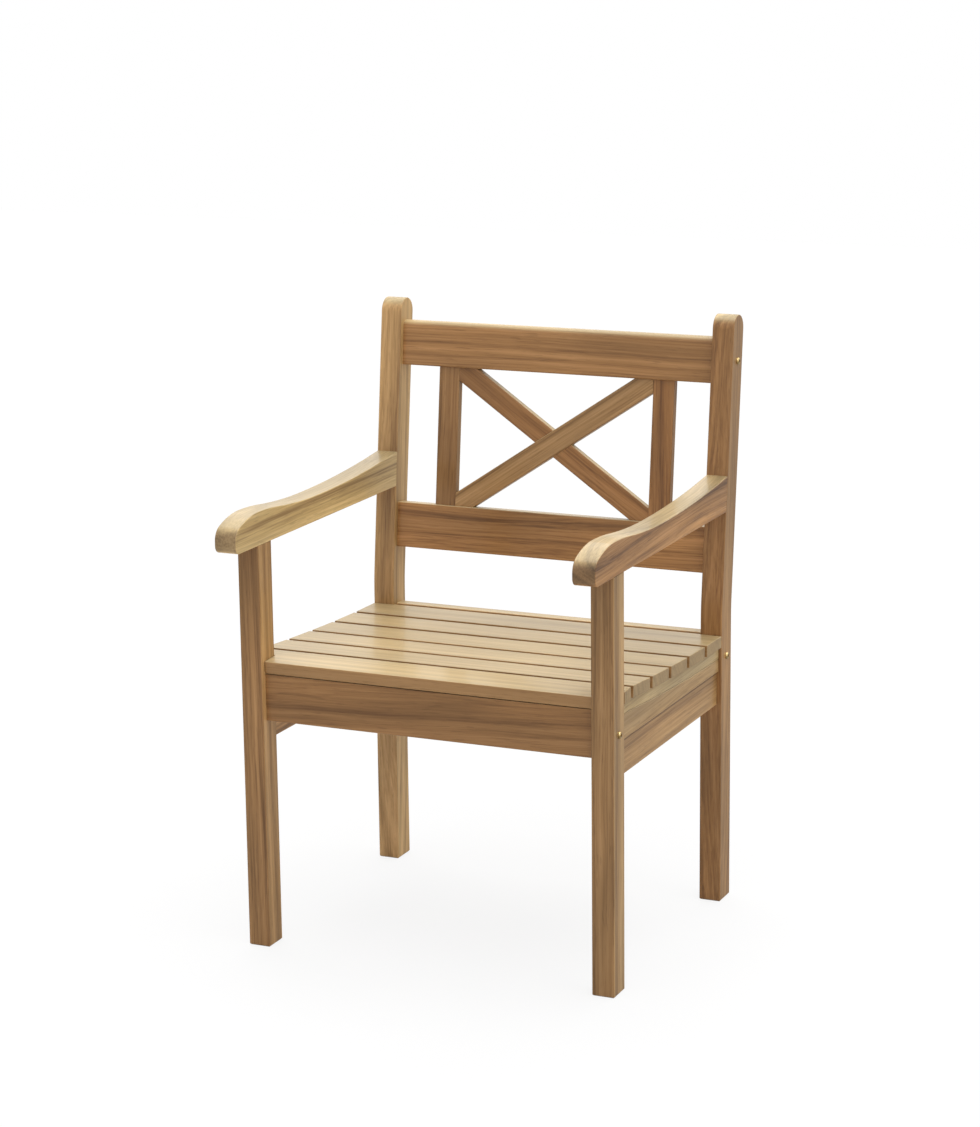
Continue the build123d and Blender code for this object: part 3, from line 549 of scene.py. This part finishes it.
def oiled_teak(name, board):
    """Oiled teak, planed and sanded.

    Golden brown wood with soft bands of growth rings, fine fibre lines and short dark pores along the grain,
    a dark streak here and there and greyer sawn ends. Upper faces are paler with painted sheen, left and
    right faces carry painted light, and some boards a dark line of painted shadow under their top edge. A
    thin film of oil gives it a satin sheen that is strongest at a low angle.
    """
    teak = bpy.context.scene.chair_teak
    material, add = new_material(f"oiled_teak_{name}")
    low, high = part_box(name)
    point = add("ShaderNodeTexCoord").outputs["Object"]
    log = place_in_log(add, point, (low + high) / 2, name, board)
    grain = grain_of_board(add, log, board)
    faces = faces_of_board(add, board)
    colour = colour_of_board(add, point, high.z, grain, faces, board)

    plane_range = {"Value": grain.fibre} | NOISE_RANGE
    plane_range["To Min"] = teak.roughness + GROOVE_ROUGHNESS
    plane_range["To Max"] = teak.roughness - RIDGE_SMOOTHNESS
    planed = add("ShaderNodeMapRange", plane_range).outputs[0]
    planed_and_sawn = {0: faces.sawn, 1: SAWN_ROUGHNESS, 2: planed}
    rough = add("ShaderNodeMath", planed_and_sawn, operation="MULTIPLY_ADD").outputs[0]
    height = add("ShaderNodeMath", {0: grain.fibre, 1: grain.pores}, operation="SUBTRACT").outputs[0]
    relief = add("ShaderNodeBump", {"Height": height, "Strength": 0.3, "Distance": 0.2 * MM}).outputs[0]
    wood_face = {"Base Color": colour, "Roughness": rough, "Normal": relief}
    wood_face |= {"IOR": WOOD_IOR, "Specular IOR Level": teak.gloss}
    oil_film = {"Coat Weight": teak.film, "Coat Roughness": OIL_ROUGHNESS, "Coat IOR": OIL_IOR}
    surface = add("ShaderNodeBsdfPrincipled", wood_face | oil_film).outputs[0]
    add("ShaderNodeOutputMaterial", {"Surface": surface})
    return material


def turned_metal(name, bright, dull, roughness):
    """Turned and polished metal.

    A bright metal with soft dull patches, and fine turning marks that break up its highlights.
    """
    metal = bpy.context.scene.chair_metal
    material, add = new_material(name)
    point = add("ShaderNodeTexCoord").outputs["Object"]
    patch_noise = {"Vector": point, "Scale": 1 / (DULL_PATCH * MM), "Detail": 3.0}
    patches = add("ShaderNodeTexNoise", patch_noise).outputs[0]
    marks = add("ShaderNodeTexNoise", {"Vector": point, "Scale": 1 / metal.mark, "Detail": 2.0}).outputs[0]
    tones = [(0.35, bright), (0.7, dull)]
    colour = add("ShaderNodeValToRGB", {"Fac": patches}, stops=tones).outputs["Color"]
    polish_range = {"Value": patches} | NOISE_RANGE
    polish_range |= {"To Min": roughness, "To Max": roughness + DULL_ROUGHNESS}
    rough = add("ShaderNodeMapRange", polish_range).outputs[0]
    relief = add("ShaderNodeBump", {"Height": marks, "Strength": 0.15, "Distance": 0.05 * MM}).outputs[0]
    shader = {"Base Color": colour, "Metallic": 1.0, "Roughness": rough, "Normal": relief}
    surface = add("ShaderNodeBsdfPrincipled", shader).outputs[0]
    add("ShaderNodeOutputMaterial", {"Surface": surface})
    return material


def dress_boards(boards):
    """Give each board its own oiled teak."""
    for name, board in boards.items():
        dress(name, oiled_teak(name, board))


class CHAIR_OT_legs(bpy.types.Operator):
    """Dress the four legs in oiled teak"""

    bl_idname = "chair.legs"
    bl_label = "Legs"

    def execute(self, context):
        dress_boards(LEGS)
        return {"FINISHED"}


class CHAIR_OT_armrests(bpy.types.Operator):
    """Dress the two armrests in oiled teak"""

    bl_idname = "chair.armrests"
    bl_label = "Armrests"

    def execute(self, context):
        dress_boards(ARMRESTS)
        return {"FINISHED"}


class CHAIR_OT_seat_rails(bpy.types.Operator):
    """Dress the four rails under the seat in oiled teak"""

    bl_idname = "chair.seat_rails"
    bl_label = "Seat rails"

    def execute(self, context):
        dress_boards(SEAT_RAILS)
        return {"FINISHED"}


class CHAIR_OT_bearers(bpy.types.Operator):
    """Dress the seat bearers and their supports in oiled teak"""

    bl_idname = "chair.bearers"
    bl_label = "Seat bearers"

    def execute(self, context):
        dress_boards(BEARERS)
        return {"FINISHED"}


class CHAIR_OT_slats(bpy.types.Operator):
    """Dress the seat slats in oiled teak"""

    bl_idname = "chair.slats"
    bl_label = "Seat slats"

    def execute(self, context):
        dress_boards(SLATS)
        return {"FINISHED"}


class CHAIR_OT_back(bpy.types.Operator):
    """Dress the back rails, uprights and braces in oiled teak"""

    bl_idname = "chair.back"
    bl_label = "Back"

    def execute(self, context):
        dress_boards(BACK_RAILS)
        dress_boards(BACK_STRIPS)
        return {"FINISHED"}


class CHAIR_OT_fasteners(bpy.types.Operator):
    """Dress the bolts and nuts in brass, the screws in steel and the dowels in teak"""

    bl_idname = "chair.fasteners"
    bl_label = "Fasteners"

    def execute(self, context):
        metal = context.scene.chair_metal
        brass = turned_metal("turned_brass", metal.brass, metal.tarnish, BRASS_ROUGHNESS)
        for name in ("frame_bolts", "barrel_nuts"):
            dress(name, brass)
        steel = turned_metal("turned_stainless_steel", metal.steel, metal.smudge, STEEL_ROUGHNESS)
        for name in ("slat_screws", "bearer_screws"):
            dress(name, steel)
        dress_boards(DOWELS)
        return {"FINISHED"}


def seen_by_camera(add):
    """1 where the camera sees a surface, straight, mirrored or through a clear piece, and 0 elsewhere."""
    path = add("ShaderNodeLightPath").outputs
    seen = {0: path["Is Camera Ray"], 1: path["Is Glossy Ray"]}
    seen = add("ShaderNodeMath", seen, operation="MAXIMUM").outputs[0]
    seen = {0: seen, 1: path["Is Transmission Ray"]}
    return add("ShaderNodeMath", seen, operation="MAXIMUM").outputs[0]


def painted_floor():
    """White painted studio floor, with a faint shadow.

    It lights the chair from below as a white floor does. The camera sees it nearly white, so that it runs
    into the background, and the chair's own faces mirror it as a grey one, so that they keep their colour.
    """
    stage = bpy.context.scene.chair_stage
    material, add = new_material("painted_studio_floor")
    point = add("ShaderNodeTexCoord").outputs["Object"]
    floor_noise = {"Vector": point, "Scale": FLOOR_PATCHES_PER_METRE, "Detail": 2.0}
    unevenness = add("ShaderNodeTexNoise", floor_noise).outputs[0]
    duller = [DULL_FLOOR_SHARE * channel for channel in stage.floor]
    tones = [(NOISE_LOW, duller), (NOISE_HIGH, stage.floor)]
    colour = add("ShaderNodeValToRGB", {"Fac": unevenness}, stops=tones).outputs["Color"]
    paint = add("ShaderNodeBsdfDiffuse", {"Color": colour}).outputs[0]
    straight = add("ShaderNodeLightPath").outputs["Is Camera Ray"]
    strength = {"Value": straight, "To Min": stage.mirrored, "To Max": 1.0}
    strength = add("ShaderNodeMapRange", strength).outputs[0]
    white = add("ShaderNodeEmission", {"Color": (1, 1, 1, 1), "Strength": strength}).outputs[0]
    share = {0: seen_by_camera(add), 1: 1 - stage.shadow}
    share = add("ShaderNodeMath", share, operation="MULTIPLY").outputs[0]
    surface = add("ShaderNodeMixShader", {0: share, 1: paint, 2: white}).outputs[0]
    add("ShaderNodeOutputMaterial", {"Surface": surface})
    return material


class CHAIR_OT_stage(bpy.types.Operator):
    """Set up the floor, the light and the camera"""

    bl_idname = "chair.stage"
    bl_label = "Stage"

    def execute(self, context):
        scene = context.scene
        self.lay_floor(scene)
        self.light(scene)
        self.place_camera(scene)
        scene.view_settings.view_transform = "Standard"
        return {"FINISHED"}

    def lay_floor(self, scene):
        """A wide level floor just under the feet."""
        shape = bmesh.new()
        bmesh.ops.create_grid(shape, x_segments=1, y_segments=1, size=FLOOR_HALF_WIDTH)
        bmesh.ops.translate(shape, verts=shape.verts, vec=(0, 0, CAD_BOX[0].z - FLOOR_GAP * MM))
        mesh = bpy.data.meshes.new("floor")
        shape.to_mesh(mesh)
        shape.free()
        floor = bpy.data.objects.new("floor", mesh)
        scene.collection.objects.link(floor)
        mesh.materials.append(painted_floor())

    def light(self, scene):
        """Even light from all round, white where it is seen or reflected, and four wide soft lights."""
        stage = scene.chair_stage
        world = bpy.data.worlds.new("studio")
        world.use_nodes = True
        world.node_tree.nodes.clear()
        add = partial(add_node, world.node_tree)
        strength = {"Value": seen_by_camera(add), "To Min": stage.sky, "To Max": 1.0}
        strength = add("ShaderNodeMapRange", strength).outputs[0]
        sky = add("ShaderNodeBackground", {"Color": (1, 1, 1, 1), "Strength": strength}).outputs[0]
        add("ShaderNodeOutputWorld", {"Surface": sky})
        scene.world = world

        for name, direction in LIGHT_DIRECTIONS.items():
            lamp = bpy.data.lights.new(name, "SUN")
            lamp.energy = getattr(stage, name)
            lamp.angle = stage.spread
            softbox = bpy.data.objects.new(name, lamp)
            softbox.rotation_euler = Vector(direction).to_track_quat("Z", "Y").to_euler()
            scene.collection.objects.link(softbox)

    def place_camera(self, scene):
        """The camera at the photograph's place, looking down at the chair from the front right."""
        stage = scene.chair_stage
        away = Vector((
            math.sin(stage.azimuth) * math.cos(stage.pitch),
            -math.cos(stage.azimuth) * math.cos(stage.pitch),
            math.sin(stage.pitch),
        ))
        right = Vector((math.cos(stage.azimuth), math.sin(stage.azimuth), 0))
        upward = away.cross(right)
        level = Matrix((right, upward, away)).transposed()
        turn = level @ Matrix.Rotation(stage.roll, 3, "Z")
        view = bpy.data.cameras.new("camera")
        view.sensor_fit = "VERTICAL"
        view.sensor_height = FRAME_HEIGHT
        view.lens = stage.lens
        camera = bpy.data.objects.new("camera", view)
        scene.collection.objects.link(camera)
        camera.matrix_world = Matrix.Translation(stage.camera_place) @ turn.to_4x4()
        scene.camera = camera


OPERATORS = (
    CHAIR_OT_legs,
    CHAIR_OT_armrests,
    CHAIR_OT_seat_rails,
    CHAIR_OT_bearers,
    CHAIR_OT_slats,
    CHAIR_OT_back,
    CHAIR_OT_fasteners,
    CHAIR_OT_stage,
)


class CHAIR_PT_panel(bpy.types.Panel):
    """The chair's pieces and settings"""

    bl_idname = "CHAIR_PT_panel"
    bl_label = "Garden chair"
    bl_space_type = "VIEW_3D"
    bl_region_type = "UI"
    bl_category = "Garden chair"

    def draw(self, context):
        for operator in OPERATORS:
            self.layout.operator(operator.bl_idname)
        for settings in (context.scene.chair_teak, context.scene.chair_metal, context.scene.chair_stage):
            box = self.layout.box()
            for name in settings.__annotations__:
                box.prop(settings, name)


CLASSES = (ChairTeakSettings, ChairMetalSettings, ChairStageSettings, *OPERATORS, CHAIR_PT_panel)


def register():
    for cls in CLASSES:
        bpy.utils.register_class(cls)
    bpy.types.Scene.chair_teak = PointerProperty(type=ChairTeakSettings)
    bpy.types.Scene.chair_metal = PointerProperty(type=ChairMetalSettings)
    bpy.types.Scene.chair_stage = PointerProperty(type=ChairStageSettings)


def unregister():
    del bpy.types.Scene.chair_stage
    del bpy.types.Scene.chair_metal
    del bpy.types.Scene.chair_teak
    for cls in reversed(CLASSES):
        bpy.utils.unregister_class(cls)


def main():
    """Dress every piece and set the stage."""
    register()
    bpy.ops.chair.legs()
    bpy.ops.chair.armrests()
    bpy.ops.chair.seat_rails()
    bpy.ops.chair.bearers()
    bpy.ops.chair.slats()
    bpy.ops.chair.back()
    bpy.ops.chair.fasteners()
    bpy.ops.chair.stage()


if __name__ == "__main__":
    main()
